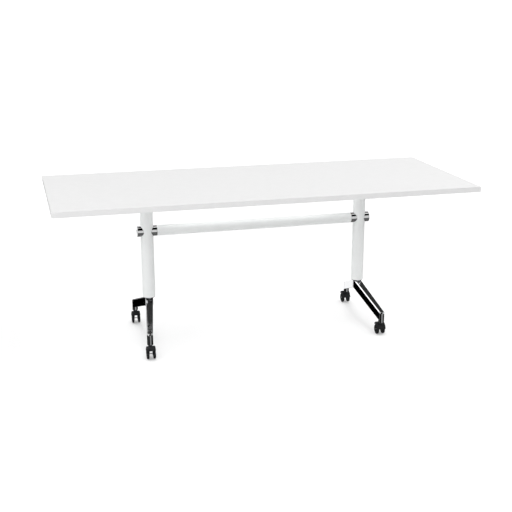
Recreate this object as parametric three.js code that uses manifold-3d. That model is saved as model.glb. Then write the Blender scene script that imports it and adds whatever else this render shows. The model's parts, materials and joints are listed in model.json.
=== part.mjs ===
// Flip top training table: a white top on two round columns, a cross tube,
// two splayed feet and four swivel casters. Millimetres, +Z up.
// The origin is on the floor under the middle of the top. +X runs along the
// length of the top and -Y is the front, where the user sits.
import * as THREE from 'three';
import { mergeVertices } from 'three/addons/utils/BufferGeometryUtils.js';
import Module from 'manifold-3d';

const wasm = await Module();
wasm.setup();

// Table top
const TOP_LENGTH = 2000;
const TOP_DEPTH = 800;
const TOP_THICKNESS = 25;
const TABLE_HEIGHT = 760;
const TOP_CORNER_RADIUS = 6;
const BAND_THICKNESS = 2;
const GLUE_GAP = 0.2;

// General clearances
const FIT_CLEARANCE = 0.3;
const RUNNING_CLEARANCE = 0.3;

// Columns
const COLUMN_SPACING = 1080;
const COLUMN_DIAMETER = 60;
const COLUMN_WALL = 2;
const COLUMN_BOTTOM = 218;
const COLUMN_DISC_THICKNESS = 8;

// Flip hinge: column head, bush, pin and friction washers
const HINGE_DROP = 46;
const HEAD_PLUG_LENGTH = 40;
const HEAD_SHOULDER = 6;
const HEAD_RISE = 28;
const TONGUE_WIDTH = 40;
const TONGUE_RADIUS = 20;
const TONGUE_HALF_DEPTH = 22;
const STOP_DEPTH = 14;
const STOP_NOSE_DROP = 7;
const STOP_CLEARANCE = 0.3;
const PIN_DIAMETER = 14;
const PIN_HEAD_DIAMETER = 24;
const PIN_HEAD_HEIGHT = 6;
const BUSH_WALL = 2.7;
const WASHER_THICKNESS = 1.5;
const WASHER_DIAMETER = 34;

// Top bracket and its screws
const PLATE_THICKNESS = 5;
const PLATE_LENGTH = 150;
const PLATE_DEPTH = 140;
const PLATE_CORNER_RADIUS = 12;
const CHEEK_THICKNESS = 6;
const CHEEK_RADIUS = 18;
const CHEEK_ROOT_DEPTH = 64;
const SCREW_INSET = 15;
const SCREW_DIAMETER = 5;
const SCREW_HEAD_DIAMETER = 11;
const SCREW_HEAD_HEIGHT = 3;
const SCREW_HEAD_BEVEL = 1.5;
const SCREW_LENGTH = 21;

// Release lever on the outer end of the hinge pin
const LEVER_HUB_DIAMETER = 28;
const LEVER_HUB_LENGTH = 19;
const LEVER_END_WALL = 3;
const LEVER_ARM_THICKNESS = 9;
const LEVER_REACH = 96;
const LEVER_DROOP = 14;
const LEVER_TIP_DIAMETER = 18;

// Cross tube, collars and tie bolts
const CROSS_TUBE_DIAMETER = 50;
const CROSS_TUBE_WALL = 2;
const CROSS_TUBE_DROP = 214;
const COLLAR_DIAMETER = 50;
const COLLAR_LENGTH = 18;
const INSERT_LENGTH = 30;
const TIE_BOLT_DIAMETER = 10;
const TIE_HEAD_DIAMETER = 16;
const TIE_HEAD_HEIGHT = 9;
const TIE_COUNTERBORE_DEPTH = 10;
const TIE_SOCKET_DIAMETER = 9;
const TIE_SOCKET_DEPTH = 5;

// Feet
const STEM_OUTSET = 38;
const STEM_Y = 251;
const HUB_DIAMETER = 58;
const HUB_HEIGHT = 3;
const SPIGOT_HEIGHT = 28;
const ARM_WIDTH_AT_HUB = 37.5;
const ARM_STEP = 0.2;
const ARM_OVERLAP = 6;
const ARM_HEIGHT_AT_HUB = 47;
const ARM_HEIGHT_AT_NOSE = 45.5;
const ARM_INSET = 1;
const CHAMFER_WIDTH = 3.6;
const CHAMFER_DROP = 5.2;
const NOSE_DIAMETER = 29;
const NOSE_HEIGHT = 58.5;
const FOOT_BOLT_DIAMETER = 10;
const FOOT_HEAD_DIAMETER = 17;
const FOOT_HEAD_HEIGHT = 10;
const FOOT_COUNTERBORE_DEPTH = 12;

// Casters
const WHEEL_DIAMETER = 50;
const WHEEL_WIDTH = 9.5;
const WHEEL_GAP = 21;
const WHEEL_EDGE = 2;
const WHEEL_RIM = 6;
const WHEEL_DISH = 2.5;
const WHEEL_BOSS_DIAMETER = 16;
const CASTER_TRAIL = 16;
const AXLE_DIAMETER = 5;
const STEM_DIAMETER = 11;
const STEM_LENGTH = 30;
const STEM_FLANGE_DIAMETER = 24;
const STEM_FLANGE_THICKNESS = 2;
const SWIVEL_PIN_DIAMETER = 8;
const SWIVEL_PIN_LENGTH = 19;
const HOOD_WALL = 3;
const HOOD_GAP = 1;
const HOOD_RISE = 7.5;
const HOOD_OVERHANG = 0.5;
const HOOD_LOW_ANGLE = 28;
const HOOD_STEM_ANGLE = -2;
const BOSS_STEP = 0.2;
const BOSS_DIAMETER = 20;
const FORK_THICKNESS = 2.5;
const FORK_ROOT_WIDTH = 24;
const FORK_END_DIAMETER = 13;

// Facets
const ROUND_SEGMENTS = 24;
const SMALL_SEGMENTS = 12;
const WHEEL_SEGMENTS = 20;
const CORNER_SEGMENTS = 3;
const HEX_SIDES = 6;
const CUT_OVERSHOOT = 1;
const WELD_TOLERANCE = 1e-4;

// Places worked out from the sizes above
const UNDERSIDE = TABLE_HEIGHT - TOP_THICKNESS;
const HINGE_Z = UNDERSIDE - HINGE_DROP;
const SHOULDER_TOP = HINGE_Z - HEAD_RISE;
const CROSS_TUBE_HEIGHT = TABLE_HEIGHT - CROSS_TUBE_DROP;
const COLUMN_TOP = SHOULDER_TOP - HEAD_SHOULDER;
const COLUMN_X = COLUMN_SPACING / 2;
const COLUMN_RADIUS = COLUMN_DIAMETER / 2;
const COLUMN_BORE = COLUMN_RADIUS - COLUMN_WALL;
const DISC_BOTTOM = COLUMN_BOTTOM + SPIGOT_HEIGHT + FIT_CLEARANCE;
const PLATE_BOTTOM = UNDERSIDE - PLATE_THICKNESS;
const SCREW_HOLE = SCREW_DIAMETER / 2 + FIT_CLEARANCE;
const STOP_REACH = HINGE_DROP - PLATE_THICKNESS - STOP_CLEARANCE;
const TONGUE_FACE = TONGUE_WIDTH / 2;
const CHEEK_FACE = TONGUE_FACE + WASHER_THICKNESS + 2 * RUNNING_CLEARANCE;
const CHEEK_BACK = CHEEK_FACE + CHEEK_THICKNESS;
const LEVER_START = CHEEK_BACK + RUNNING_CLEARANCE;
const LEVER_END = LEVER_START + LEVER_HUB_LENGTH;
const PIN_RADIUS = PIN_DIAMETER / 2;
const BUSH_BORE = PIN_RADIUS + FIT_CLEARANCE;
const BUSH_RADIUS = BUSH_BORE + BUSH_WALL;
const COLLAR_REACH = COLUMN_RADIUS + COLLAR_LENGTH;
const TIE_BOLT_HOLE = TIE_BOLT_DIAMETER / 2 + FIT_CLEARANCE;
const FOOT_BOLT_HOLE = FOOT_BOLT_DIAMETER / 2 + FIT_CLEARANCE;
const HUB_BOTTOM = COLUMN_BOTTOM - HUB_HEIGHT;
const SPIGOT_RADIUS = COLUMN_BORE - FIT_CLEARANCE;
const WHEEL_RADIUS = WHEEL_DIAMETER / 2;
const WHEEL_INNER = WHEEL_GAP / 2;
const WHEEL_OUTER = WHEEL_INNER + WHEEL_WIDTH;
const WELL_RADIUS = WHEEL_RADIUS + HOOD_GAP;
const HOOD_RADIUS = WELL_RADIUS + HOOD_WALL;
const HOOD_CENTRE = WHEEL_RADIUS + HOOD_RISE;
const BOSS_TOP = HOOD_CENTRE + HOOD_RADIUS + BOSS_STEP;
const FLANGE_BOTTOM = BOSS_TOP + RUNNING_CLEARANCE;
const NOSE_BOTTOM = FLANGE_BOTTOM + STEM_FLANGE_THICKNESS;
const ARM_TOP_AT_NOSE = NOSE_BOTTOM + NOSE_HEIGHT;
const ARM_TOP_AT_HUB = COLUMN_BOTTOM - ARM_STEP;
const CORE_BOTTOM = ARM_TOP_AT_HUB - ARM_HEIGHT_AT_HUB;
const CORE_RADIUS = ARM_WIDTH_AT_HUB / 2 - ARM_INSET;
const ARM_WIDTH_AT_NOSE = NOSE_DIAMETER - ARM_INSET;
const ARM_REACH = Math.hypot(STEM_OUTSET, STEM_Y);
const ARM_SLOPE = (ARM_TOP_AT_HUB - ARM_TOP_AT_NOSE) / ARM_REACH;

// Materials
function finish(colour, roughness, metalness) {
  return { color: colour, roughness, metalness };
}
const WHITE_MELAMINE = finish(0xf2f2f2, 0.45, 0);
const WHITE_BAND = finish(0xe6e6e6, 0.4, 0);
const POWDER_COAT = finish(0xe5e8e7, 0.45, 0);
const CHROME = finish(0xc9ccd0, 0.08, 1);
const POLISHED_CASTING = finish(0x9a9ca0, 0.12, 1);
const GREY_CASTING = finish(0x8d9093, 0.5, 0.8);
const ZINC_STEEL = finish(0xa9adb1, 0.35, 0.9);
const BLACK_STEEL = finish(0x2c2d30, 0.4, 0.7);
const BRONZE = finish(0xa07a45, 0.4, 0.9);
const FIBRE = finish(0x4b4640, 0.85, 0);
const BLACK_NYLON = finish(0x26272a, 0.5, 0);
const WHEEL_POLYMER = finish(0x2b2c2f, 0.55, 0);

const group = new THREE.Group();
group.name = 'flip_top_training_table';

// Welds equal corners and drops the slivers that collapse at a lathe's axis
function welded(geometry) {
  const bare = new THREE.BufferGeometry();
  bare.setAttribute('position', geometry.attributes.position.clone());
  if (geometry.index) bare.setIndex(geometry.index.clone());
  const merged = mergeVertices(bare, WELD_TOLERANCE);
  const from = merged.index.array;
  const kept = [];
  for (let i = 0; i < from.length; i += 3) {
    const [a, b, c] = [from[i], from[i + 1], from[i + 2]];
    if (a !== b && b !== c && c !== a) kept.push(a, b, c);
  }
  merged.setIndex(kept);
  return outward(merged);
}

// Six times the volume inside a closed mesh, negative when it is inside out
function signedVolume(geometry) {
  const place = geometry.attributes.position;
  const index = geometry.index.array;
  const [a, b, c] = [new THREE.Vector3(), new THREE.Vector3(), new THREE.Vector3()];
  let sum = 0;
  for (let i = 0; i < index.length; i += 3) {
    a.fromBufferAttribute(place, index[i]);
    b.fromBufferAttribute(place, index[i + 1]);
    c.fromBufferAttribute(place, index[i + 2]);
    sum += a.dot(b.cross(c));
  }
  return sum;
}

// Turns every face round where a mirrored or backward profile faces in
function outward(geometry) {
  if (signedVolume(geometry) >= 0) return geometry;
  const turned = Array.from(geometry.index.array);
  for (let i = 0; i < turned.length; i += 3) {
    [turned[i + 1], turned[i + 2]] = [turned[i + 2], turned[i + 1]];
  }
  geometry.setIndex(turned);
  return geometry;
}

function toSolid(geometry) {
  const shape = welded(geometry);
  const vertProperties = new Float32Array(shape.attributes.position.array);
  const triVerts = new Uint32Array(shape.index.array);
  return new wasm.Manifold(new wasm.Mesh({ numProp: 3, vertProperties, triVerts }));
}

function toGeometry(solid) {
  const mesh = solid.getMesh();
  const geometry = new THREE.BufferGeometry();
  geometry.setAttribute('position', new THREE.BufferAttribute(mesh.vertProperties, 3));
  geometry.setIndex(new THREE.BufferAttribute(mesh.triVerts, 1));
  return geometry;
}

// Joins some shapes and then cuts others out of them
function carve(joined, cuts) {
  let solid = toSolid(joined[0]);
  for (const piece of joined.slice(1)) solid = solid.add(toSolid(piece));
  for (const cut of cuts) solid = solid.subtract(toSolid(cut));
  return toGeometry(solid);
}

// A profile of [radius, place along the axis] turned about the X or Z axis
function turned(axis, profile, segments = ROUND_SEGMENTS) {
  const points = profile.map(([radius, along]) => new THREE.Vector2(radius, along));
  const geometry = new THREE.LatheGeometry(points, segments);
  if (axis === 'x') geometry.rotateZ(-Math.PI / 2);
  else geometry.rotateX(Math.PI / 2);
  return welded(geometry);
}

function rod(axis, radius, from, to, segments = ROUND_SEGMENTS) {
  return turned(axis, [[0, from], [radius, from], [radius, to], [0, to]], segments);
}

function ring(axis, bore, radius, from, to, segments = ROUND_SEGMENTS) {
  const profile = [[bore, from], [radius, from], [radius, to], [bore, to], [bore, from]];
  return turned(axis, profile, segments);
}

// A shape drawn in the YZ plane and extruded along X
function slab(shape, from, to) {
  const geometry = new THREE.ExtrudeGeometry(shape, {
    depth: to - from,
    bevelEnabled: false,
    curveSegments: CORNER_SEGMENTS * 2,
  });
  const basis = new THREE.Matrix4().makeBasis(
    new THREE.Vector3(0, 1, 0),
    new THREE.Vector3(0, 0, 1),
    new THREE.Vector3(1, 0, 0),
  );
  return geometry.applyMatrix4(basis).translate(from, 0, 0);
}

function moved(geometry, x, y, z) {
  return geometry.clone().translate(x, y, z);
}

// The same piece on the left side, which is a mirror image
function onSide(geometry, side) {
  const copy = geometry.clone().scale(side, 1, 1);
  return welded(copy);
}

function roundedRectangle(length, depth, radius, Kind = THREE.Shape) {
  const [x, y] = [length / 2, depth / 2];
  const shape = new Kind();
  shape.moveTo(-x + radius, -y);
  shape.lineTo(x - radius, -y);
  shape.absarc(x - radius, -y + radius, radius, -Math.PI / 2, 0, false);
  shape.lineTo(x, y - radius);
  shape.absarc(x - radius, y - radius, radius, 0, Math.PI / 2, false);
  shape.lineTo(-x + radius, y);
  shape.absarc(-x + radius, y - radius, radius, Math.PI / 2, Math.PI, false);
  shape.lineTo(-x, -y + radius);
  shape.absarc(-x + radius, -y + radius, radius, Math.PI, 1.5 * Math.PI, false);
  return shape;
}

function plank(shape, from, to) {
  const geometry = new THREE.ExtrudeGeometry(shape, {
    depth: to - from,
    bevelEnabled: false,
    curveSegments: CORNER_SEGMENTS,
  });
  return geometry.translate(0, 0, from);
}

function addPiece(name, geometry, look) {
  const mesh = new THREE.Mesh(welded(geometry), new THREE.MeshStandardMaterial(look));
  mesh.name = name;
  group.add(mesh);
}

// Each piece of one leg is drawn for the right side and mirrored for the left
const SIDES = [['left', -1], ['right', 1]];
function addPair(name, geometry, look) {
  for (const [word, side] of SIDES) {
    const placed = onSide(moved(geometry, COLUMN_X, 0, 0), side);
    addPiece(`${word}_${name}`, placed, look);
  }
}

// Table top with pilot holes for the bracket screws, and its edge band
function bracketScrewPlaces() {
  const x = PLATE_LENGTH / 2 - SCREW_INSET;
  const y = PLATE_DEPTH / 2 - SCREW_INSET;
  const places = [];
  for (const sx of [-1, 1]) {
    for (const sy of [-1, 1]) places.push([sx * x, sy * y]);
  }
  return places;
}

function addTop() {
  const inset = 2 * (BAND_THICKNESS + GLUE_GAP);
  const coreRadius = TOP_CORNER_RADIUS - BAND_THICKNESS - GLUE_GAP;
  const core = roundedRectangle(TOP_LENGTH - inset, TOP_DEPTH - inset, coreRadius);
  const pilots = [];
  const pilotTop = PLATE_BOTTOM + SCREW_LENGTH + FIT_CLEARANCE;
  for (const [, side] of SIDES) {
    for (const [x, y] of bracketScrewPlaces()) {
      const pilot = rod('z', SCREW_HOLE, PLATE_BOTTOM, pilotTop, SMALL_SEGMENTS);
      pilots.push(moved(pilot, side * COLUMN_X + x, y, 0));
    }
  }
  addPiece('table_top', carve([plank(core, UNDERSIDE, TABLE_HEIGHT)], pilots), WHITE_MELAMINE);

  const band = roundedRectangle(TOP_LENGTH, TOP_DEPTH, TOP_CORNER_RADIUS);
  const insideRadius = TOP_CORNER_RADIUS - BAND_THICKNESS;
  const insideLength = TOP_LENGTH - 2 * BAND_THICKNESS;
  const insideDepth = TOP_DEPTH - 2 * BAND_THICKNESS;
  band.holes.push(roundedRectangle(insideLength, insideDepth, insideRadius, THREE.Path));
  addPiece('edge_band', plank(band, UNDERSIDE, TABLE_HEIGHT), WHITE_BAND);
}

// Bracket under the top: a screwed plate with two cheeks that hold the pin
function cheekShape() {
  const rootZ = PLATE_BOTTOM;
  const root = CHEEK_ROOT_DEPTH / 2;
  const rise = rootZ - HINGE_Z;
  const lean = Math.atan2(root, rise);
  const touch = Math.acos(CHEEK_RADIUS / Math.hypot(root, rise));
  const start = Math.PI / 2 + lean + touch;
  const shape = new THREE.Shape();
  shape.moveTo(root, rootZ);
  shape.lineTo(-root, rootZ);
  shape.absarc(0, HINGE_Z, CHEEK_RADIUS, start, Math.PI - start + 2 * Math.PI, false);
  shape.closePath();
  return shape;
}

function addBrackets() {
  const plateOutline = roundedRectangle(PLATE_LENGTH, PLATE_DEPTH, PLATE_CORNER_RADIUS);
  const plate = plank(plateOutline, PLATE_BOTTOM, UNDERSIDE);
  const outerCheek = slab(cheekShape(), CHEEK_FACE, CHEEK_BACK);
  const innerCheek = slab(cheekShape(), -CHEEK_BACK, -CHEEK_FACE);
  const boreReach = CHEEK_BACK + CUT_OVERSHOOT;
  const pinBore = rod('x', PIN_RADIUS + FIT_CLEARANCE, -boreReach, boreReach);
  const cuts = [moved(pinBore, 0, 0, HINGE_Z)];
  const holeBottom = PLATE_BOTTOM - CUT_OVERSHOOT;
  const holeTop = UNDERSIDE + CUT_OVERSHOOT;
  const hole = rod('z', SCREW_HOLE, holeBottom, holeTop, SMALL_SEGMENTS);
  for (const [x, y] of bracketScrewPlaces()) cuts.push(moved(hole, x, y, 0));
  addPair('top_bracket', carve([plate, outerCheek, innerCheek], cuts), GREY_CASTING);
}

function addBracketScrews() {
  const headBottom = PLATE_BOTTOM - SCREW_HEAD_HEIGHT;
  const shank = SCREW_DIAMETER / 2;
  const head = SCREW_HEAD_DIAMETER / 2;
  const screw = turned('z', [
    [0, headBottom],
    [head - SCREW_HEAD_BEVEL, headBottom],
    [head, headBottom + SCREW_HEAD_BEVEL],
    [head, PLATE_BOTTOM],
    [shank, PLATE_BOTTOM],
    [shank, PLATE_BOTTOM + SCREW_LENGTH],
    [0, PLATE_BOTTOM + SCREW_LENGTH],
  ], SMALL_SEGMENTS);
  bracketScrewPlaces().forEach(([x, y], i) => {
    addPair(`bracket_screw_${i + 1}`, moved(screw, x, y, 0), ZINC_STEEL);
  });
}

// Column head: a plug in the tube, a shoulder and a tongue with two flip stops
function tongueShape() {
  const stopFront = TONGUE_HALF_DEPTH - STOP_DEPTH;
  const arcStart = Math.acos(stopFront / TONGUE_RADIUS);
  const noseTop = -STOP_NOSE_DROP;
  const noseBottom = noseTop - STOP_DEPTH;
  const shape = new THREE.Shape();
  shape.moveTo(TONGUE_HALF_DEPTH, SHOULDER_TOP);
  shape.lineTo(TONGUE_HALF_DEPTH, HINGE_Z + STOP_REACH);
  shape.lineTo(stopFront, HINGE_Z + STOP_REACH);
  shape.absarc(0, HINGE_Z, TONGUE_RADIUS, arcStart, Math.PI, false);
  shape.lineTo(-STOP_REACH, HINGE_Z + noseTop);
  shape.lineTo(-STOP_REACH, HINGE_Z + noseBottom);
  shape.lineTo(-TONGUE_HALF_DEPTH, SHOULDER_TOP);
  shape.closePath();
  return shape;
}

function addColumnHeads() {
  const plugRadius = COLUMN_BORE - FIT_CLEARANCE;
  const body = turned('z', [
    [0, COLUMN_TOP - HEAD_PLUG_LENGTH],
    [plugRadius, COLUMN_TOP - HEAD_PLUG_LENGTH],
    [plugRadius, COLUMN_TOP],
    [COLUMN_RADIUS, COLUMN_TOP],
    [COLUMN_RADIUS, SHOULDER_TOP],
    [0, SHOULDER_TOP],
  ]);
  const tongue = slab(tongueShape(), -TONGUE_FACE, TONGUE_FACE);
  const boreReach = TONGUE_FACE + CUT_OVERSHOOT;
  const bore = rod('x', BUSH_RADIUS + FIT_CLEARANCE, -boreReach, boreReach);
  addPair('column_head', carve([body, tongue], [moved(bore, 0, 0, HINGE_Z)]), GREY_CASTING);
}

function addHinges() {
  const bush = ring('x', BUSH_BORE, BUSH_RADIUS, -TONGUE_FACE, TONGUE_FACE);
  addPair('hinge_bush', moved(bush, 0, 0, HINGE_Z), BRONZE);

  const washerStart = TONGUE_FACE + RUNNING_CLEARANCE;
  const washerEnd = washerStart + WASHER_THICKNESS;
  const washer = ring('x', BUSH_BORE, WASHER_DIAMETER / 2, washerStart, washerEnd);
  addPair('outer_friction_washer', moved(washer, 0, 0, HINGE_Z), FIBRE);
  const innerWasher = moved(washer, -washerStart - washerEnd, 0, HINGE_Z);
  addPair('inner_friction_washer', innerWasher, FIBRE);

  const pin = turned('x', [
    [0, -CHEEK_BACK - PIN_HEAD_HEIGHT],
    [PIN_HEAD_DIAMETER / 2, -CHEEK_BACK - PIN_HEAD_HEIGHT],
    [PIN_HEAD_DIAMETER / 2, -CHEEK_BACK],
    [PIN_RADIUS, -CHEEK_BACK],
    [PIN_RADIUS, LEVER_END - LEVER_END_WALL - RUNNING_CLEARANCE],
    [0, LEVER_END - LEVER_END_WALL - RUNNING_CLEARANCE],
  ]);
  addPair('hinge_pin', moved(pin, 0, 0, HINGE_Z), ZINC_STEEL);
}

// Release lever: a hub over the pin's end and a drooping arm to the rear
function leverShape() {
  const hub = LEVER_HUB_DIAMETER / 2;
  const tip = LEVER_TIP_DIAMETER / 2;
  const span = Math.hypot(LEVER_REACH, LEVER_DROOP);
  const heading = Math.atan2(-LEVER_DROOP, LEVER_REACH);
  const spread = Math.acos((hub - tip) / span);
  const shape = new THREE.Shape();
  shape.absarc(0, 0, hub, heading + spread, heading - spread + 2 * Math.PI, false);
  shape.absarc(LEVER_REACH, -LEVER_DROOP, tip, heading - spread, heading + spread, false);
  shape.closePath();
  return shape;
}

function addReleaseLevers() {
  const hub = rod('x', LEVER_HUB_DIAMETER / 2, LEVER_START, LEVER_END);
  const arm = slab(leverShape(), LEVER_END - LEVER_ARM_THICKNESS, LEVER_END);
  const boreStart = LEVER_START - CUT_OVERSHOOT;
  const bore = rod('x', PIN_RADIUS + FIT_CLEARANCE, boreStart, LEVER_END - LEVER_END_WALL);
  const lever = carve([hub, arm], [bore]);
  addPair('release_lever', moved(lever, 0, 0, HINGE_Z), BLACK_NYLON);
}

// Column tube with a welded disc for the foot bolt and holes for the tie bolt
function addColumns() {
  const tube = ring('z', COLUMN_BORE, COLUMN_RADIUS, COLUMN_BOTTOM, COLUMN_TOP);
  const weld = COLUMN_BORE + COLUMN_WALL / 2;
  const disc = ring('z', FOOT_BOLT_HOLE, weld, DISC_BOTTOM, DISC_BOTTOM + COLUMN_DISC_THICKNESS);
  const hole = rod('x', TIE_BOLT_HOLE, -COLUMN_DIAMETER, COLUMN_DIAMETER, SMALL_SEGMENTS);
  addPair('column', carve([tube, disc], [moved(hole, 0, 0, CROSS_TUBE_HEIGHT)]), POWDER_COAT);
}

// Cross tube between the columns, its end inserts, collars and tie bolts
function addCrossTube() {
  const end = COLUMN_X - COLLAR_REACH;
  const bore = CROSS_TUBE_DIAMETER / 2 - CROSS_TUBE_WALL;
  const tube = ring('x', bore, CROSS_TUBE_DIAMETER / 2, -end, end);
  addPiece('cross_tube', moved(tube, 0, 0, CROSS_TUBE_HEIGHT), POWDER_COAT);

  const insertStart = -COLLAR_REACH - INSERT_LENGTH;
  const insert = ring('x', TIE_BOLT_HOLE, bore - FIT_CLEARANCE, insertStart, -COLLAR_REACH);
  addPair('tube_insert', moved(insert, 0, 0, CROSS_TUBE_HEIGHT), ZINC_STEEL);

  const saddle = rod('z', COLUMN_RADIUS + FIT_CLEARANCE, -COLLAR_DIAMETER, COLLAR_DIAMETER);
  const inner = ring('x', TIE_BOLT_HOLE, COLLAR_DIAMETER / 2, -COLLAR_REACH, 0);
  addPair('inner_collar', moved(carve([inner], [saddle]), 0, 0, CROSS_TUBE_HEIGHT), CHROME);

  const outer = ring('x', TIE_BOLT_HOLE, COLLAR_DIAMETER / 2, 0, COLLAR_REACH);
  const seat = COLLAR_REACH - TIE_COUNTERBORE_DEPTH;
  const mouth = COLLAR_REACH + CUT_OVERSHOOT;
  const counterbore = rod('x', TIE_HEAD_DIAMETER / 2 + FIT_CLEARANCE, seat, mouth);
  const outerCollar = carve([outer], [saddle, counterbore]);
  addPair('outer_collar', moved(outerCollar, 0, 0, CROSS_TUBE_HEIGHT), CHROME);

  const shank = turned('x', [
    [0, insertStart],
    [TIE_BOLT_DIAMETER / 2, insertStart],
    [TIE_BOLT_DIAMETER / 2, seat],
    [TIE_HEAD_DIAMETER / 2, seat],
    [TIE_HEAD_DIAMETER / 2, seat + TIE_HEAD_HEIGHT],
    [0, seat + TIE_HEAD_HEIGHT],
  ]);
  const socketTop = seat + TIE_HEAD_HEIGHT;
  const socketBottom = socketTop - TIE_SOCKET_DEPTH;
  const mouthTop = socketTop + CUT_OVERSHOOT;
  const socket = rod('x', TIE_SOCKET_DIAMETER / 2, socketBottom, mouthTop, HEX_SIDES);
  addPair('tie_bolt', moved(carve([shank], [socket]), 0, 0, CROSS_TUBE_HEIGHT), ZINC_STEEL);
}

// A closed skin over sections that have the same number of corners
function loft(sections) {
  const count = sections[0].length;
  const corners = sections.flat();
  const index = [];
  for (let row = 0; row < sections.length - 1; row += 1) {
    for (let i = 0; i < count; i += 1) {
      const [a, b] = [row * count + i, row * count + ((i + 1) % count)];
      index.push(a, b, b + count, a, b + count, a + count);
    }
  }
  const last = (sections.length - 1) * count;
  for (let i = 1; i < count - 1; i += 1) {
    index.push(0, i + 1, i);
    index.push(last, last + i, last + i + 1);
  }
  const geometry = new THREE.BufferGeometry().setFromPoints(corners);
  geometry.setIndex(index);
  return welded(geometry);
}

// A point of one foot, from its distance along the arm, across it and height
function onArm(along, across, z, towardRear) {
  const [ox, oy] = [STEM_OUTSET / ARM_REACH, (towardRear * STEM_Y) / ARM_REACH];
  return new THREE.Vector3(along * ox - across * oy, along * oy + across * ox, z);
}

// The arm tapers from hub to nose, with chamfers along its two upper edges
function armPiece(towardRear) {
  function section(along, top, height, width) {
    const side = width / 2;
    const flat = side - CHAMFER_WIDTH;
    const places = [
      [-side, top - height],
      [side, top - height],
      [side, top - CHAMFER_DROP],
      [flat, top],
      [-flat, top],
      [-side, top - CHAMFER_DROP],
    ];
    return places.map(([across, z]) => onArm(along, across, z, towardRear));
  }
  return loft([
    section(-ARM_OVERLAP, ARM_TOP_AT_HUB, ARM_HEIGHT_AT_HUB, ARM_WIDTH_AT_HUB),
    section(0, ARM_TOP_AT_HUB, ARM_HEIGHT_AT_HUB, ARM_WIDTH_AT_HUB),
    section(ARM_REACH, ARM_TOP_AT_NOSE, ARM_HEIGHT_AT_NOSE, ARM_WIDTH_AT_NOSE),
  ]);
}

// The nose is an upright socket whose chamfered top follows the arm's slope
function nosePiece(towardRear) {
  function rim(radius, height) {
    const points = [];
    for (let i = 0; i < ROUND_SEGMENTS; i += 1) {
      const angle = (2 * Math.PI * i) / ROUND_SEGMENTS;
      const [along, across] = [radius * Math.cos(angle), radius * Math.sin(angle)];
      points.push(onArm(ARM_REACH + along, across, height(along), towardRear));
    }
    return points;
  }
  const radius = NOSE_DIAMETER / 2;
  const slopedTop = (along) => ARM_TOP_AT_NOSE - ARM_SLOPE * along;
  return loft([
    rim(radius, () => NOSE_BOTTOM),
    rim(radius, (along) => slopedTop(along) - CHAMFER_DROP),
    rim(radius - CHAMFER_WIDTH, slopedTop),
  ]);
}

function addFeet() {
  const hub = turned('z', [
    [0, CORE_BOTTOM],
    [CORE_RADIUS, CORE_BOTTOM],
    [CORE_RADIUS, HUB_BOTTOM],
    [HUB_DIAMETER / 2, HUB_BOTTOM],
    [HUB_DIAMETER / 2, COLUMN_BOTTOM],
    [SPIGOT_RADIUS, COLUMN_BOTTOM],
    [SPIGOT_RADIUS, COLUMN_BOTTOM + SPIGOT_HEIGHT],
    [0, COLUMN_BOTTOM + SPIGOT_HEIGHT],
  ]);
  const joined = [hub];
  const headSeat = CORE_BOTTOM + FOOT_COUNTERBORE_DEPTH;
  const cutBottom = CORE_BOTTOM - ARM_HEIGHT_AT_HUB;
  const cuts = [
    rod('z', FOOT_BOLT_HOLE, cutBottom, DISC_BOTTOM, SMALL_SEGMENTS),
    rod('z', FOOT_HEAD_DIAMETER / 2 + FIT_CLEARANCE, cutBottom, headSeat),
  ];
  const socketTop = NOSE_BOTTOM + STEM_LENGTH + FIT_CLEARANCE;
  const socketRadius = STEM_DIAMETER / 2 + FIT_CLEARANCE;
  const socket = rod('z', socketRadius, NOSE_BOTTOM - CUT_OVERSHOOT, socketTop, SMALL_SEGMENTS);
  for (const towardRear of [-1, 1]) {
    joined.push(armPiece(towardRear), nosePiece(towardRear));
    cuts.push(moved(socket, STEM_OUTSET, towardRear * STEM_Y, 0));
  }
  addPair('foot', carve(joined, cuts), POLISHED_CASTING);

  const bolt = turned('z', [
    [0, headSeat - FOOT_HEAD_HEIGHT],
    [FOOT_HEAD_DIAMETER / 2, headSeat - FOOT_HEAD_HEIGHT],
    [FOOT_HEAD_DIAMETER / 2, headSeat],
    [FOOT_BOLT_DIAMETER / 2, headSeat],
    [FOOT_BOLT_DIAMETER / 2, DISC_BOTTOM + COLUMN_DISC_THICKNESS],
    [0, DISC_BOTTOM + COLUMN_DISC_THICKNESS],
  ], SMALL_SEGMENTS);
  addPair('foot_bolt', bolt, ZINC_STEEL);
}

// Caster pieces, drawn with the stem on the Z axis and the wheels behind it
function stemPiece() {
  const pinBottom = FLANGE_BOTTOM - SWIVEL_PIN_LENGTH;
  return turned('z', [
    [0, pinBottom],
    [SWIVEL_PIN_DIAMETER / 2, pinBottom],
    [SWIVEL_PIN_DIAMETER / 2, FLANGE_BOTTOM],
    [STEM_FLANGE_DIAMETER / 2, FLANGE_BOTTOM],
    [STEM_FLANGE_DIAMETER / 2, NOSE_BOTTOM],
    [STEM_DIAMETER / 2, NOSE_BOTTOM],
    [STEM_DIAMETER / 2, NOSE_BOTTOM + STEM_LENGTH],
    [0, NOSE_BOTTOM + STEM_LENGTH],
  ], SMALL_SEGMENTS);
}

// The hood covers both wheels, lower on the stem's side than behind them, and a
// fork under it holds the axle between them
function forkShape(rootZ) {
  const root = FORK_ROOT_WIDTH / 2;
  const end = FORK_END_DIAMETER / 2;
  const shape = new THREE.Shape();
  shape.moveTo(CASTER_TRAIL + root, rootZ);
  shape.absarc(CASTER_TRAIL, WHEEL_RADIUS, end, 0, Math.PI, true);
  shape.lineTo(CASTER_TRAIL - root, rootZ);
  shape.closePath();
  return shape;
}

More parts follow.
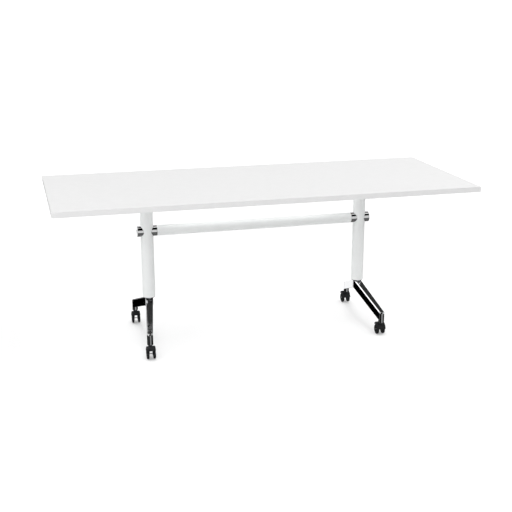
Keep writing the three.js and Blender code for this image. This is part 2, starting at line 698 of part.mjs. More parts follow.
function hoodPiece() {
  const low = THREE.MathUtils.degToRad(HOOD_LOW_ANGLE);
  const stemLow = THREE.MathUtils.degToRad(HOOD_STEM_ANGLE);
  const coverBottom = HOOD_CENTRE + HOOD_RADIUS * Math.sin(low);
  const cover = new THREE.Shape();
  cover.absarc(CASTER_TRAIL, HOOD_CENTRE, HOOD_RADIUS, low, Math.PI - stemLow, false);
  cover.closePath();
  const half = WHEEL_OUTER + HOOD_OVERHANG;
  const forkOuter = WHEEL_INNER - RUNNING_CLEARANCE;
  const forkInner = forkOuter - FORK_THICKNESS;
  const fork = forkShape(coverBottom + HOOD_WALL);
  const boreBottom = FLANGE_BOTTOM - SWIVEL_PIN_LENGTH - RUNNING_CLEARANCE;
  const boss = rod('z', BOSS_DIAMETER / 2, boreBottom, BOSS_TOP);
  const well = rod('x', WELL_RADIUS, forkOuter, 2 * half);
  const axleBore = rod('x', AXLE_DIAMETER / 2 + FIT_CLEARANCE, -half, half, SMALL_SEGMENTS);
  const boreTop = BOSS_TOP + CUT_OVERSHOOT;
  const swivelRadius = SWIVEL_PIN_DIAMETER / 2 + FIT_CLEARANCE;
  return carve(
    [boss, slab(cover, -half, half), slab(fork, forkInner, forkOuter), slab(fork, -forkOuter, -forkInner)],
    [
      moved(well, 0, CASTER_TRAIL, WHEEL_RADIUS),
      moved(onSide(well, -1), 0, CASTER_TRAIL, WHEEL_RADIUS),
      moved(axleBore, 0, CASTER_TRAIL, WHEEL_RADIUS),
      rod('z', swivelRadius, boreBottom - CUT_OVERSHOOT, boreTop, SMALL_SEGMENTS),
    ],
  );
}

// Flats between the facet edges lie on the wheel's true radius, so it stands
function wheelPiece(side) {
  const grow = 1 / Math.cos(Math.PI / WHEEL_SEGMENTS);
  const tread = WHEEL_RADIUS * grow;
  const bore = AXLE_DIAMETER / 2 + FIT_CLEARANCE;
  const rim = tread - WHEEL_RIM;
  const boss = WHEEL_BOSS_DIAMETER / 2;
  const dish = WHEEL_OUTER - WHEEL_DISH;
  const wheel = turned('x', [
    [bore, WHEEL_INNER],
    [tread - WHEEL_EDGE, WHEEL_INNER],
    [tread, WHEEL_INNER + WHEEL_EDGE],
    [tread, WHEEL_OUTER - WHEEL_EDGE],
    [tread - WHEEL_EDGE, WHEEL_OUTER],
    [rim, WHEEL_OUTER],
    [rim - WHEEL_DISH, dish],
    [boss + WHEEL_DISH, dish],
    [boss, WHEEL_OUTER],
    [bore, WHEEL_OUTER],
    [bore, WHEEL_INNER],
  ], WHEEL_SEGMENTS);
  wheel.rotateX(Math.PI / WHEEL_SEGMENTS);
  return moved(onSide(wheel, side), 0, CASTER_TRAIL, WHEEL_RADIUS);
}

// The right casters trail to the rear and the left ones to the front
function facing(geometry, side) {
  const copy = geometry.clone();
  return side > 0 ? copy : copy.rotateZ(Math.PI);
}

function addCasters() {
  const stem = stemPiece();
  const hood = hoodPiece();
  const axle = rod('x', AXLE_DIAMETER / 2, -WHEEL_OUTER, WHEEL_OUTER, SMALL_SEGMENTS);
  for (const [word, side] of SIDES) {
    for (const [end, towardRear] of [['front', -1], ['rear', 1]]) {
      const x = side * (COLUMN_X + STEM_OUTSET);
      const y = towardRear * STEM_Y;
      const corner = `${end}_${word}`;
      const axleY = y + side * CASTER_TRAIL;
      addPiece(`${corner}_caster_stem`, moved(stem, x, y, 0), BLACK_STEEL);
      addPiece(`${corner}_caster_hood`, moved(facing(hood, side), x, y, 0), BLACK_NYLON);
      addPiece(`${corner}_axle`, moved(axle, x, axleY, WHEEL_RADIUS), ZINC_STEEL);
      for (const [letter, hand] of [['a', -1], ['b', 1]]) {
        const wheel = facing(wheelPiece(hand * side), side);
        addPiece(`${corner}_wheel_${letter}`, moved(wheel, x, y, 0), WHEEL_POLYMER);
      }
    }
  }
}

addTop();
addBrackets();
addBracketScrews();
addColumnHeads();
addHinges();
addReleaseLevers();
addColumns();
addCrossTube();
addFeet();
addCasters();

export default group;
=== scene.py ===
# %% [markdown]
# # Flip top training table
# A white top tilts on two friction hinges over round columns, which stand on
# splayed polished feet with twin wheel casters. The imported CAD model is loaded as
# a fixed frame. Its solids have flat facets, so each one is replaced here by a
# smooth surface of the same size, which rides on the same body.

import json
import math

import bmesh
import bpy
import numpy as np
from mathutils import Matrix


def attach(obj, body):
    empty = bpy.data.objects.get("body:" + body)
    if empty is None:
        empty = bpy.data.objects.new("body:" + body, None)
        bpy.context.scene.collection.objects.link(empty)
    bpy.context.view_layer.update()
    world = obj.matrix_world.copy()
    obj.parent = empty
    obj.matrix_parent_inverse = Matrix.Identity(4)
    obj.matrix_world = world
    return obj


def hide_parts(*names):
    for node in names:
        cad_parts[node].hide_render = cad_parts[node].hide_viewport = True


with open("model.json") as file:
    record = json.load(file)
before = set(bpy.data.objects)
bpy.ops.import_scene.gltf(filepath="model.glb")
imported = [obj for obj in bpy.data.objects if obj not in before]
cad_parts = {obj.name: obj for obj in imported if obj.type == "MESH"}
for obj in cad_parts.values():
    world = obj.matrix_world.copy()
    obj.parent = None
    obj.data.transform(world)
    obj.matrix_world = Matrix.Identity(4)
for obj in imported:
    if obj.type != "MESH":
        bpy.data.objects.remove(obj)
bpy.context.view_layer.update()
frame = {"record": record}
record = frame["record"]
BODY_OF = {n: b for b, nodes in record["behaviour"]["bodies"].items() for n in nodes}
SLOT_OF = {part["node"]: part["material_slot"] for part in record["subparts"]}
SIDES = (("left", -1), ("right", 1))

# %% [markdown]
# ## From arrays to meshes
# Every piece below is a grid of points: one direction runs along a profile, the
# other round an axis or along a path. A grid becomes quads by joining each point to
# its three neighbours, so the faces come from index arithmetic on whole arrays. A
# piece that is welded, cast or drilled is several closed shells: Boolean modifiers
# fuse them into one solid and cut the holes. Loose shells left inside each other
# would look the same but make a poor mesh to print or measure.

# %% Grids and shells
MM = 0.001


def grid_shell(points, wrap_rows=False, cap_first=False, cap_last=False):
    """Quads between neighbouring rows and columns of a grid of points.

    Columns always close into a ring. Rows close too where wrap_rows is set, and a
    cap fills the first or last row with one flat face. Sizes are in millimetres.
    """
    rows, cols = points.shape[:2]
    row_count = rows if wrap_rows else rows - 1
    r, c = np.meshgrid(np.arange(row_count), np.arange(cols), indexing="ij")
    below, right = (r + 1) % rows, (c + 1) % cols
    quads = np.stack([r * cols + c, r * cols + right, below * cols + right, below * cols + c], -1)
    faces = quads.reshape(-1, 4).tolist()
    if cap_first:
        faces.append(list(range(cols)))
    if cap_last:
        faces.append(list(range((rows - 1) * cols, rows * cols)))
    return points.reshape(-1, 3), faces


def shell_mesh(shell, mirror):
    """One closed shell as a mesh, welded at its seams and poles and facing out."""
    points, faces = shell
    mesh = bpy.data.meshes.new("shell")
    mesh.from_pydata((points * np.array([mirror, 1, 1]) * MM).tolist(), [], faces)
    bm = bmesh.new()
    bm.from_mesh(mesh)
    bmesh.ops.remove_doubles(bm, verts=bm.verts, dist=1e-7)
    bmesh.ops.recalc_face_normals(bm, faces=bm.faces)
    bm.to_mesh(mesh)
    bm.free()
    return mesh


def fused(shells, cutters, mirror):
    """One closed mesh from shells joined together and cutters taken away."""
    objects = []
    for shell in [*shells, *cutters]:
        part = bpy.data.objects.new("shell", shell_mesh(shell, mirror))
        bpy.context.scene.collection.objects.link(part)
        objects.append(part)
    for i, part in enumerate(objects[1:], 1):
        step = objects[0].modifiers.new("fuse", "BOOLEAN")
        step.operation = "UNION" if i < len(shells) else "DIFFERENCE"
        step.solver = "MANIFOLD"
        step.object = part
    bpy.context.view_layer.update()
    depsgraph = bpy.context.evaluated_depsgraph_get()
    mesh = bpy.data.meshes.new_from_object(objects[0].evaluated_get(depsgraph))
    for part in objects:
        data = part.data
        bpy.data.objects.remove(part)
        bpy.data.meshes.remove(data)
    mesh.materials.clear()
    return mesh


def smooth(mesh, crease):
    """Smooth shading, with edges sharper than the crease angle kept crisp."""
    mesh.polygons.foreach_set("use_smooth", np.ones(len(mesh.polygons), bool))
    mesh.set_sharp_from_angle(angle=math.radians(crease))


FINISHES = {}
made = []


def stand_for(node, mesh):
    """Puts a mesh in the scene in place of a CAD node, on its body and in its finish."""
    mesh.name = node + "_surface"
    piece = bpy.data.objects.new(node + "_surface", mesh)
    bpy.context.scene.collection.objects.link(piece)
    mesh.materials.append(FINISHES[SLOT_OF[node]])
    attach(piece, BODY_OF[node])
    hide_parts(node)
    made.append(piece)
    return piece


def add_piece(node, shells, mirror=1, crease=28, cutters=()):
    """One closed solid that stands for its CAD node: shells fused and holes cut."""
    single = len(shells) == 1 and not cutters
    mesh = shell_mesh(shells[0], mirror) if single else fused(shells, cutters, mirror)
    smooth(mesh, crease)
    return stand_for(node, mesh)


def add_pair(name, shells, crease=28, cutters=()):
    """The right leg's piece and its mirror image on the left."""
    for word, side in SIDES:
        add_piece(f"{word}_{name}", shells, side, crease, cutters)


def moved(shell, x=0, y=0, z=0):
    """The same shell somewhere else."""
    return shell[0] + np.array([x, y, z]), shell[1]


print("grid helpers ready")

# %% [markdown]
# ## Rounded profiles
# No real edge is razor sharp, and the thin bright line along an edge is what makes a
# rendered part look made. A Bevel modifier could round the edges afterwards. Here
# the profile itself is rounded before it is turned or extruded, which keeps the
# grid regular. Two extra points just past each arc keep the flats flat.

# %% Round corners, turned shapes and extruded shapes


def rounded(corners, radii, closed=False, steps=5):
    """A line of 2-D corners with each corner swapped for an arc.

    An arc of radius r starts r / tan(half the corner's angle) before the corner and
    ends as far after it, and a holding point follows on each side.
    """
    corners = np.asarray(corners, float)
    count = len(corners)
    radii = np.broadcast_to(np.asarray(radii, float), count)
    turn_share = np.linspace(0, 1, steps + 1)
    line = []
    for i, corner in enumerate(corners):
        end_point = not closed and i in (0, count - 1)
        if radii[i] == 0 or end_point:
            line.append(corner[None])
            continue
        back, ahead = corners[i - 1] - corner, corners[(i + 1) % count] - corner
        room = 0.48 * min(np.linalg.norm(back), np.linalg.norm(ahead))
        back, ahead = back / np.linalg.norm(back), ahead / np.linalg.norm(ahead)
        half = 0.5 * math.acos(np.clip(back @ ahead, -1, 1))
        tangent = min(radii[i] / math.tan(half), 0.9 * room)
        radius = tangent * math.tan(half)
        middle = (back + ahead) / np.linalg.norm(back + ahead)
        centre = corner + middle * radius / math.sin(half)
        start, stop = corner + back * tangent - centre, corner + ahead * tangent - centre
        turn = math.atan2(start[0] * stop[1] - start[1] * stop[0], start @ stop)
        angle = turn * turn_share[:, None]
        arc = centre + np.cos(angle) * start + np.sin(angle) * np.array([-start[1], start[0]])
        hold = min(tangent + 0.4 * radius, room)
        line += [(corner + back * hold)[None], arc, (corner + ahead * hold)[None]]
    return np.concatenate(line)


def turned(profile, axis, segments=64, closed=False):
    """A profile of (radius, place along the axis) carried round the X or Z axis."""
    profile = np.asarray(profile, float)
    angle = np.linspace(0, 2 * np.pi, segments, endpoint=False)
    radius, along = profile[:, :1], profile[:, 1:] + 0 * angle
    first, second = radius * np.cos(angle), radius * np.sin(angle)
    order = [along, first, second] if axis == "x" else [first, second, along]
    return grid_shell(np.stack(order, -1), wrap_rows=closed)


def rod(radius, start, end, axis="z", segments=48):
    """A plain round bar, used to cut holes."""
    return turned([(0, start), (radius, start), (radius, end), (0, end)], axis, segments)


def ring(bore, radius, start, end, axis, edge=0.4, segments=64):
    """A tube or washer: a rectangle between two radii with its corners rounded."""
    corners = [(bore, start), (radius, start), (radius, end), (bore, end)]
    return turned(rounded(corners, edge, closed=True), axis, segments, closed=True)


def arc(centre, radius, start, end, steps=16):
    """Points on part of a circle, from one angle in degrees to another."""
    angle = np.radians(np.linspace(start, end, steps + 1))[:, None]
    return np.asarray(centre) + radius * np.hstack([np.cos(angle), np.sin(angle)])


def inset(outline, distance):
    """A closed outline moved inwards by a distance along the mitre of its edges.

    The mitre at a point is the sum of the two edges' unit normals over one plus the
    cosine between them.
    """
    edge = np.roll(outline, -1, 0) - outline
    edge /= np.linalg.norm(edge, axis=1, keepdims=True)
    normal = np.stack([edge[:, 1], -edge[:, 0]], 1)
    before = np.roll(normal, 1, 0)
    mitre = (normal + before) / (1 + (normal * before).sum(1, keepdims=True))
    return outline[None] - np.asarray(distance).reshape(-1, 1, 1) * mitre


def prism(outline, axis, start, end, edge):
    """An outline extruded along an axis, its two rims rounded with a given radius.

    The rim's profile gives how far each row is inset and how far along it lies.
    """
    deep = 2.2 * edge
    rim = rounded([(deep, start), (0, start), (0, end), (deep, end)], edge, steps=4)
    flat = inset(outline, rim[:, 0])
    along = np.broadcast_to(rim[:, 1, None], flat.shape[:2])
    order = [along, flat[..., 0], flat[..., 1]]
    if axis == "z":
        order = [flat[..., 0], flat[..., 1], along]
    return grid_shell(np.stack(order, -1), cap_first=True, cap_last=True)


def rectangle(length, depth, radius, steps=8):
    """A rectangle about the middle with round corners, counterclockwise."""
    x, y = length / 2, depth / 2
    return rounded([(-x, -y), (x, -y), (x, y), (-x, y)], radius, closed=True, steps=steps)


print("profile helpers ready")

# %% [markdown]
# ## Finishes
# Each finish is a Principled shader fed by noise on Object coordinates, so grain and
# mottling stay on the piece when it moves. One noise shifts the colour a little,
# one roughens the gloss and a fine one lifts the surface as bump. The sizes follow
# the real finish: melamine has a pressed pebble grain of about half a millimetre,
# powder coat a soft orange peel of about two, and castings a faint cloudiness.

# %% Shader helper


def noise_node(tree, coords, size, stretch, detail):
    """Noise whose blobs are about size metres across, stretched along the axes."""
    place = tree.nodes.new("ShaderNodeMapping")
    place.inputs["Scale"].default_value = tuple(1.0 / s for s in stretch)
    tree.links.new(coords, place.inputs["Vector"])
    noise = tree.nodes.new("ShaderNodeTexNoise")
    noise.inputs["Scale"].default_value = 1.0 / size
    noise.inputs["Detail"].default_value = detail
    tree.links.new(place.outputs["Vector"], noise.inputs["Vector"])
    return noise.outputs["Fac"]


def two_tones(tree, factor, low, high):
    """A colour that runs from low to high over the middle of a noise."""
    ramp = tree.nodes.new("ShaderNodeValToRGB")
    ramp.color_ramp.elements[0].position = 0.3
    ramp.color_ramp.elements[1].position = 0.7
    ramp.color_ramp.elements[0].color = (*low, 1)
    ramp.color_ramp.elements[1].color = (*high, 1)
    tree.links.new(factor, ramp.inputs["Fac"])
    return ramp.outputs["Color"]


def make_finish(slot, colour, gloss, metal=0.0, tone=0.03, cloud=0.05, grain=0.001,
                lift=0.02, stretch=(1, 1, 1), mirror=0.5):
    """A Principled finish: colour varied by tone, roughness between two values of
    gloss over clouds of a size, and a bump of a grain size and a lift in millimetres.
    Mirror sets how much a paint or plastic reflects, 0.5 being a bare smooth one."""
    material = bpy.data.materials.new(slot)
    material.use_nodes = True
    tree = material.node_tree
    shader = tree.nodes["Principled BSDF"]
    shader.inputs["Metallic"].default_value = metal
    shader.inputs["Specular IOR Level"].default_value = mirror
    coords = tree.nodes.new("ShaderNodeTexCoord").outputs["Object"]
    clouds = noise_node(tree, coords, cloud, (1, 1, 1), 3)
    colour = np.array(colour)
    mottled = two_tones(tree, clouds, colour * (1 - tone), np.minimum(colour * (1 + tone), 1))
    tree.links.new(mottled, shader.inputs["Base Color"])
    fine = noise_node(tree, coords, grain, stretch, 2)
    rough = tree.nodes.new("ShaderNodeMapRange")
    rough.inputs["From Min"].default_value = 0.3
    rough.inputs["From Max"].default_value = 0.7
    rough.inputs["To Min"].default_value = gloss[0]
    rough.inputs["To Max"].default_value = gloss[1]
    tree.links.new(clouds, rough.inputs["Value"])
    tree.links.new(rough.outputs["Result"], shader.inputs["Roughness"])
    bump = tree.nodes.new("ShaderNodeBump")
    bump.inputs["Strength"].default_value = 0.6
    bump.inputs["Distance"].default_value = lift * MM
    tree.links.new(fine, bump.inputs["Height"])
    tree.links.new(bump.outputs["Normal"], shader.inputs["Normal"])
    FINISHES[slot] = material
    return tree, shader, mottled


# %% The twelve finishes
# Painted shade: below this height the melamine's underside is coloured dark grey, standing in for the shade under
# the top.
UNDERSIDE_SHADE_GREY = (0.05, 0.051, 0.053)
UNDERSIDE_SHADE_TOP = 0.7354

tree, shader, face = make_finish(
    "white_melamine", (0.87, 0.87, 0.87), (0.36, 0.46), tone=0.012, cloud=0.03, grain=0.0006,
    lift=0.03, mirror=0.15)
# From here the face colour gives way to the painted shade grey on the underside.
place = tree.nodes.new("ShaderNodeSeparateXYZ")
tree.links.new(tree.nodes["Texture Coordinate"].outputs["Object"], place.inputs["Vector"])
under = tree.nodes.new("ShaderNodeMath")
under.operation = "LESS_THAN"
under.inputs[1].default_value = UNDERSIDE_SHADE_TOP
tree.links.new(place.outputs["Z"], under.inputs[0])
face_or_shade = tree.nodes.new("ShaderNodeMix")
face_or_shade.data_type = "RGBA"
tree.links.new(under.outputs["Value"], face_or_shade.inputs["Factor"])
tree.links.new(face, face_or_shade.inputs[6])
face_or_shade.inputs[7].default_value = (*UNDERSIDE_SHADE_GREY, 1)
tree.links.new(face_or_shade.outputs[2], shader.inputs["Base Color"])

make_finish("white_edge_band", (0.81, 0.81, 0.81), (0.32, 0.42), tone=0.015, cloud=0.04,
            grain=0.0008, lift=0.02, mirror=0.3)
make_finish("white_powder_coat", (0.89, 0.905, 0.90), (0.34, 0.44), tone=0.012, cloud=0.06,
            grain=0.0022, lift=0.03, mirror=0.15)
make_finish("chrome", (0.78, 0.785, 0.79), (0.04, 0.08), metal=1, tone=0.02, cloud=0.02,
            grain=0.004, lift=0.002)
make_finish("polished_casting", (0.74, 0.745, 0.755), (0.06, 0.12), metal=1, tone=0.03,
            cloud=0.03, grain=0.008, lift=0.006)
make_finish("grey_casting", (0.40, 0.41, 0.42), (0.42, 0.58), metal=0.85, tone=0.08, cloud=0.006,
            grain=0.0012, lift=0.08)
make_finish("zinc_steel", (0.76, 0.77, 0.78), (0.36, 0.5), metal=0.6, tone=0.06, cloud=0.004,
            grain=0.0008, lift=0.01, stretch=(6, 1, 1))
make_finish("black_steel", (0.03, 0.031, 0.033), (0.3, 0.42), metal=0.3, tone=0.1, cloud=0.004,
            grain=0.0008, lift=0.02)
make_finish("bronze", (0.50, 0.34, 0.15), (0.32, 0.46), metal=1, tone=0.08, cloud=0.004,
            grain=0.0006, lift=0.02)
make_finish("friction_fibre", (0.10, 0.09, 0.08), (0.75, 0.9), tone=0.25, cloud=0.0015,
            grain=0.0006, lift=0.08, stretch=(1, 3, 1))
make_finish("black_nylon", (0.012, 0.0124, 0.0135), (0.36, 0.48), tone=0.12, cloud=0.008,
            grain=0.0007, lift=0.04, mirror=0.22)
make_finish("wheel_polymer", (0.0105, 0.0109, 0.012), (0.36, 0.5), tone=0.15, cloud=0.006,
            grain=0.0012, lift=0.03, mirror=0.2)
print(len(FINISHES), "finishes")

# %% [markdown]
# ## Table top and edge band
# The top is a 25 mm panel faced in white melamine with a 2 mm white band glued round
# it. A cube with a Bevel would do for the panel. The band has to follow the round
# corners, so its rounded section is carried along the panel's outline.

# %% Panel and band
UNDERSIDE, HEIGHT = 735.0, 760.0
COLUMN_X, SCREW_HOLE = 540.0, 2.8
SCREW_PLACES = [(x, y) for x in (-60, 60) for y in (-55, 55)]
panel = prism(rectangle(1995.6, 795.6, 3.8), "z", UNDERSIDE, HEIGHT, 0.35)
pilot = rod(SCREW_HOLE, 730, 751.3)
pilots = [moved(pilot, side * COLUMN_X + x, y) for word, side in SIDES for x, y in SCREW_PLACES]
add_piece("table_top", [panel], cutters=pilots)

band_section = rounded([(0, UNDERSIDE), (2, UNDERSIDE), (2, HEIGHT), (0, HEIGHT)],
                       [1.1, 0.2, 0.2, 1.1], closed=True)
band_rows = inset(rectangle(2000, 800, 6), band_section[:, 0])
band_height = np.broadcast_to(band_section[:, 1, None, None], band_rows.shape[:2] + (1,))
band = grid_shell(np.concatenate([band_rows, band_height], -1), wrap_rows=True)
add_piece("edge_band", [band])
print("top made,", [len(p.data.polygons) for p in made[-2:]], "faces")

# %% [markdown]
# ## Columns and cross tube
# Both are plain steel tubes with a smooth powder coat. Their wall is a rounded
# rectangle turned about the tube's axis. A disc inside each column takes the foot's
# bolt.

# %% Tubes
TUBE_Z, TIE_HOLE = 546.0, 5.3
COLUMN_BOTTOM, COLUMN_TOP = 218.0, 655.0
DISC_BOTTOM = 246.3
wall = moved(ring(28, 30, COLUMN_BOTTOM, COLUMN_TOP, "z", 0.5, 96), COLUMN_X)
disc = moved(ring(5.3, 28.4, DISC_BOTTOM, DISC_BOTTOM + 8, "z", 0.4), COLUMN_X)
tie_hole = moved(rod(TIE_HOLE, -60, 60, "x"), COLUMN_X, 0, TUBE_Z)
add_pair("column", [wall, disc], cutters=[tie_hole])
add_piece("cross_tube", [moved(ring(23, 25, -492, 492, "x", 0.5, 96), z=TUBE_Z)])
insert = ring(5.3, 22.7, -78, -48, "x", 1.0)
add_pair("tube_insert", [moved(insert, COLUMN_X, 0, TUBE_Z)])
print("tubes made")

# %% [markdown]
# ## Collars and tie bolts
# A chrome collar sits on each side of a column where the cross tube meets it. Its
# end is a saddle that follows the round column: a Boolean could cut that, but the
# saddle is known exactly, because a point at height across y on the column lies
# sqrt(R squared - y squared) from its axis. So the rows of the grid run from the
# saddle's bore over its rim, along the collar and back through the bolt hole.

# %% Saddle collars
COLLAR_END, COLLAR_RADIUS, SADDLE_RADIUS = 48.0, 25.0, 30.3


def collar(outward, recess):
    """A saddle collar on the X axis, towards +X or -X from the column's axis.

    Rows give a radius and a share between the saddle, sqrt(R^2 - (r cos a)^2), and a
    fixed place along the axis.
    """
    angle = np.linspace(0, 2 * np.pi, 96, endpoint=False)
    end = rounded([(COLLAR_RADIUS, 30), (COLLAR_RADIUS, COLLAR_END), *recess], 1.3)[1:]
    rim = np.linspace(5.3, COLLAR_RADIUS - 0.5, 8)
    radius = np.concatenate([rim, [COLLAR_RADIUS - 0.15, COLLAR_RADIUS], end[:, 0]])
    saddle = np.sqrt(SADDLE_RADIUS ** 2 - (radius[:, None] * np.cos(angle)) ** 2)
    lift = np.concatenate([0 * rim, [0.15, 0.5]])[:, None]
    fixed = end[:, 1, None] + 0 * angle
    along = np.concatenate([saddle[:len(lift)] + lift, fixed])
    y, z = radius[:, None] * np.cos(angle), radius[:, None] * np.sin(angle)
    points = np.stack([outward * along, y, z], -1)
    return moved(grid_shell(points, wrap_rows=True), COLUMN_X, 0, TUBE_Z)


add_pair("inner_collar", [collar(-1, [(5.3, COLLAR_END)])])
add_pair("outer_collar", [collar(1, [(8.3, COLLAR_END), (8.3, 38), (5.3, 38)])])
print("collars made")

# %% [markdown]
# The bolts have a round head with a six sided socket. One grid makes both: near the
# rim its rows are circles, and in the socket they are hexagons, whose radius at an
# angle is the distance across flats over twice the cosine from the nearest flat.

# %% Socket head bolts


def socket_bolt(outer, socket, axis, segments=72):
    """A turned bolt with a hexagon socket in its last end.

    outer is a profile of (radius, along) from the tip to the head's face, and socket
    is (half the width across flats, bottom) behind that face.
    """
    outer = np.asarray(outer, float)
    angle = np.linspace(0, 2 * np.pi, segments, endpoint=False)
    face = outer[-1, 1]
    inward = math.copysign(1, face - outer[0, 1])
    flats = 1 / np.cos((angle + np.pi / 6) % (np.pi / 3) - np.pi / 6)
    half, bottom = socket
    hexagon = np.array([(half + 0.3, face), (half, face - 0.4 * inward), (half, bottom), (0, bottom)])
    radius = np.concatenate([outer[:, :1] + 0 * angle, hexagon[:, :1] * flats])
    along = np.concatenate([outer[:, 1:] + 0 * angle, hexagon[:, 1:] + 0 * angle])
    first, second = radius * np.cos(angle), radius * np.sin(angle)
    order = [along, first, second] if axis == "x" else [first, second, along]
    return grid_shell(np.stack(order, -1))


tie_line = rounded([(0, -78), (5, -78), (5, 38), (8, 38), (8, 47), (5.2, 47)], [0, 0.8, 0.2, 0.3, 0.8, 0])
tie_bolt = socket_bolt(tie_line, (3.9, 42), "x")
add_pair("tie_bolt", [moved(tie_bolt, COLUMN_X, 0, TUBE_Z)])

CORE_BOTTOM = 170.8
HEAD_SEAT = CORE_BOTTOM + 12
foot_line = rounded([(0, DISC_BOTTOM + 8), (5, DISC_BOTTOM + 8), (5, HEAD_SEAT), (8.5, HEAD_SEAT),
                     (8.5, HEAD_SEAT - 10), (5.4, HEAD_SEAT - 10)], [0, 0.8, 0.2, 0.3, 0.8, 0])
foot_bolt = socket_bolt(foot_line, (4, HEAD_SEAT - 5), "z")
add_pair("foot_bolt", [moved(foot_bolt, COLUMN_X)])
print("bolts made")

# %% [markdown]
# ## Feet
# Each foot is one polished casting: two arms slope down from a hub under the column
# to upright round noses that hold the casters. The arms taper and have a chamfer on
# both upper edges. Arms, noses and hub are made as closed shells and fused, as in
# the casting, then the bolt's counterbore and the caster sockets are cut. A remesh
# would blur the crisp chamfers, so the shells are joined exactly.

# %% Arm, nose and hub surfaces
STEM_OUT, STEM_Y = 38.0, 251.0
REACH = math.hypot(STEM_OUT, STEM_Y)
ARM_TOP, NOSE_TOP, NOSE_BOTTOM = 217.8, 122.5, 64.0
CHAMFER_WIDTH, CHAMFER_DROP = 3.6, 5.2
NOSE_RADIUS = 14.5
WIDTH_AT_HUB, WIDTH_AT_NOSE = 37.5, 28.0
HEIGHT_AT_HUB, HEIGHT_AT_NOSE = 47.0, 45.5
CORE_RADIUS = WIDTH_AT_HUB / 2 - 1
SLOPE = (ARM_TOP - NOSE_TOP) / REACH


def on_arm(along, across, height, rear):
    """Points from distances along and across an arm, which leaves the hub towards
    the stem: (along times heading + across times its normal, height)."""
    hx, hy = STEM_OUT / REACH, rear * STEM_Y / REACH
    return np.stack([along * hx - across * hy, along * hy + across * hx, height], -1)


ARM_STATIONS = (-6, 0, 28, 34, REACH - 24, REACH - 18, REACH + 2)


def arm(rear):
    """An arm's section, six rounded corners, carried along it while it tapers.

    Two stations close to each end keep the long flats flat where the hub and the
    nose are fused on.
    """
    rows = []
    for along in ARM_STATIONS:
        share = max(along, 0) / REACH
        top = ARM_TOP + share * (NOSE_TOP - ARM_TOP)
        height = HEIGHT_AT_HUB + share * (HEIGHT_AT_NOSE - HEIGHT_AT_HUB)
        width = WIDTH_AT_HUB + share * (WIDTH_AT_NOSE - WIDTH_AT_HUB)
        side, flat = width / 2, width / 2 - CHAMFER_WIDTH
        corners = [(-side, top - height), (side, top - height), (side, top - CHAMFER_DROP),
                   (flat, top), (-flat, top), (-side, top - CHAMFER_DROP)]
        section = rounded(corners, [1.5, 1.5, 0.9, 0.9, 0.9, 0.9], closed=True, steps=9)
        rows.append(on_arm(np.full(len(section), along), section[:, 0], section[:, 1], rear))
    return grid_shell(np.stack(rows), cap_first=True, cap_last=True)


def nose(rear):
    """An upright post: its foot is level and its chamfered top follows the slope,
    so a top row's height is the arm's top line there less the row's drop."""
    angle = np.linspace(0, 2 * np.pi, 96, endpoint=False)
    base = rounded([(0, NOSE_BOTTOM), (NOSE_RADIUS, NOSE_BOTTOM), (NOSE_RADIUS, 74)], 1.4, steps=9)
    flat = NOSE_RADIUS - CHAMFER_WIDTH
    crown = rounded([(NOSE_RADIUS, -30), (NOSE_RADIUS, -CHAMFER_DROP), (flat, 0.02), (0, 0.02)], 0.9, steps=9)
    radius = np.concatenate([base[:, 0], crown[:, 0]])[:, None]
    along, across = radius * np.cos(angle), radius * np.sin(angle)
    level = base[:, 1:] + 0 * angle
    sloped = NOSE_TOP - SLOPE * along[len(base):] + crown[:, 1:]
    height = np.concatenate([level, sloped])
    return grid_shell(on_arm(REACH + along, across, height, rear))


hub_line = rounded([(0, CORE_BOTTOM), (CORE_RADIUS, CORE_BOTTOM), (CORE_RADIUS, 215), (29, 215), (29, 218),
                    (27.7, 218), (27.7, 246), (0, 246)], [0, 0.5, 0.6, 1.2, 0.4, 0.2, 2, 0], steps=9)
hub = turned(hub_line, "z", 96)


# %% Fuse the casting
sockets = [moved(rod(5.8, 50, 94.3), STEM_OUT, end * STEM_Y) for end in (-1, 1)]
bolt_holes = [rod(8.8, 120, HEAD_SEAT), rod(5.3, 150, 300)]
casting = [hub, arm(-1), arm(1), nose(-1), nose(1)]
add_pair("foot", [moved(s, COLUMN_X) for s in casting], 12, [moved(s, COLUMN_X) for s in bolt_holes + sockets])
print("feet made,", len(made[-1].data.polygons), "faces each")

# %% [markdown]
# ## Flip hinge
# Under the top, a bracket's two cheeks hold a pin that passes through the column's
# head. Fibre washers between them hold the tilt by friction. These parts are
# extruded plates and turned pins, so each is a rounded prism or a rounded profile.

# %% Heads, brackets and screws
HINGE_Z, SHOULDER_TOP, PIN_BORE = 689.0, 661.0, 7.3
plug_line = rounded([(0, 615), (27.7, 615), (27.7, COLUMN_TOP), (30, COLUMN_TOP), (30, SHOULDER_TOP),
                     (0, SHOULDER_TOP)], [0, 2, 0.2, 0.6, 1.2, 0])
tongue_line = np.concatenate([
    [(22, SHOULDER_TOP - 1), (22, 729.7), (8, 729.7)],
    arc((0, HINGE_Z), 20, 66.4, 180, 24),
    [(-40.7, 682), (-40.7, 668), (-22, SHOULDER_TOP - 1)]])
tongue = prism(tongue_line, "x", -20, 20, 0.8)
bush_bore = moved(rod(10.3, -25, 25, "x"), COLUMN_X, 0, HINGE_Z)
add_pair("column_head", [moved(turned(plug_line, "z", 96), COLUMN_X), moved(tongue, COLUMN_X)], cutters=[bush_bore])

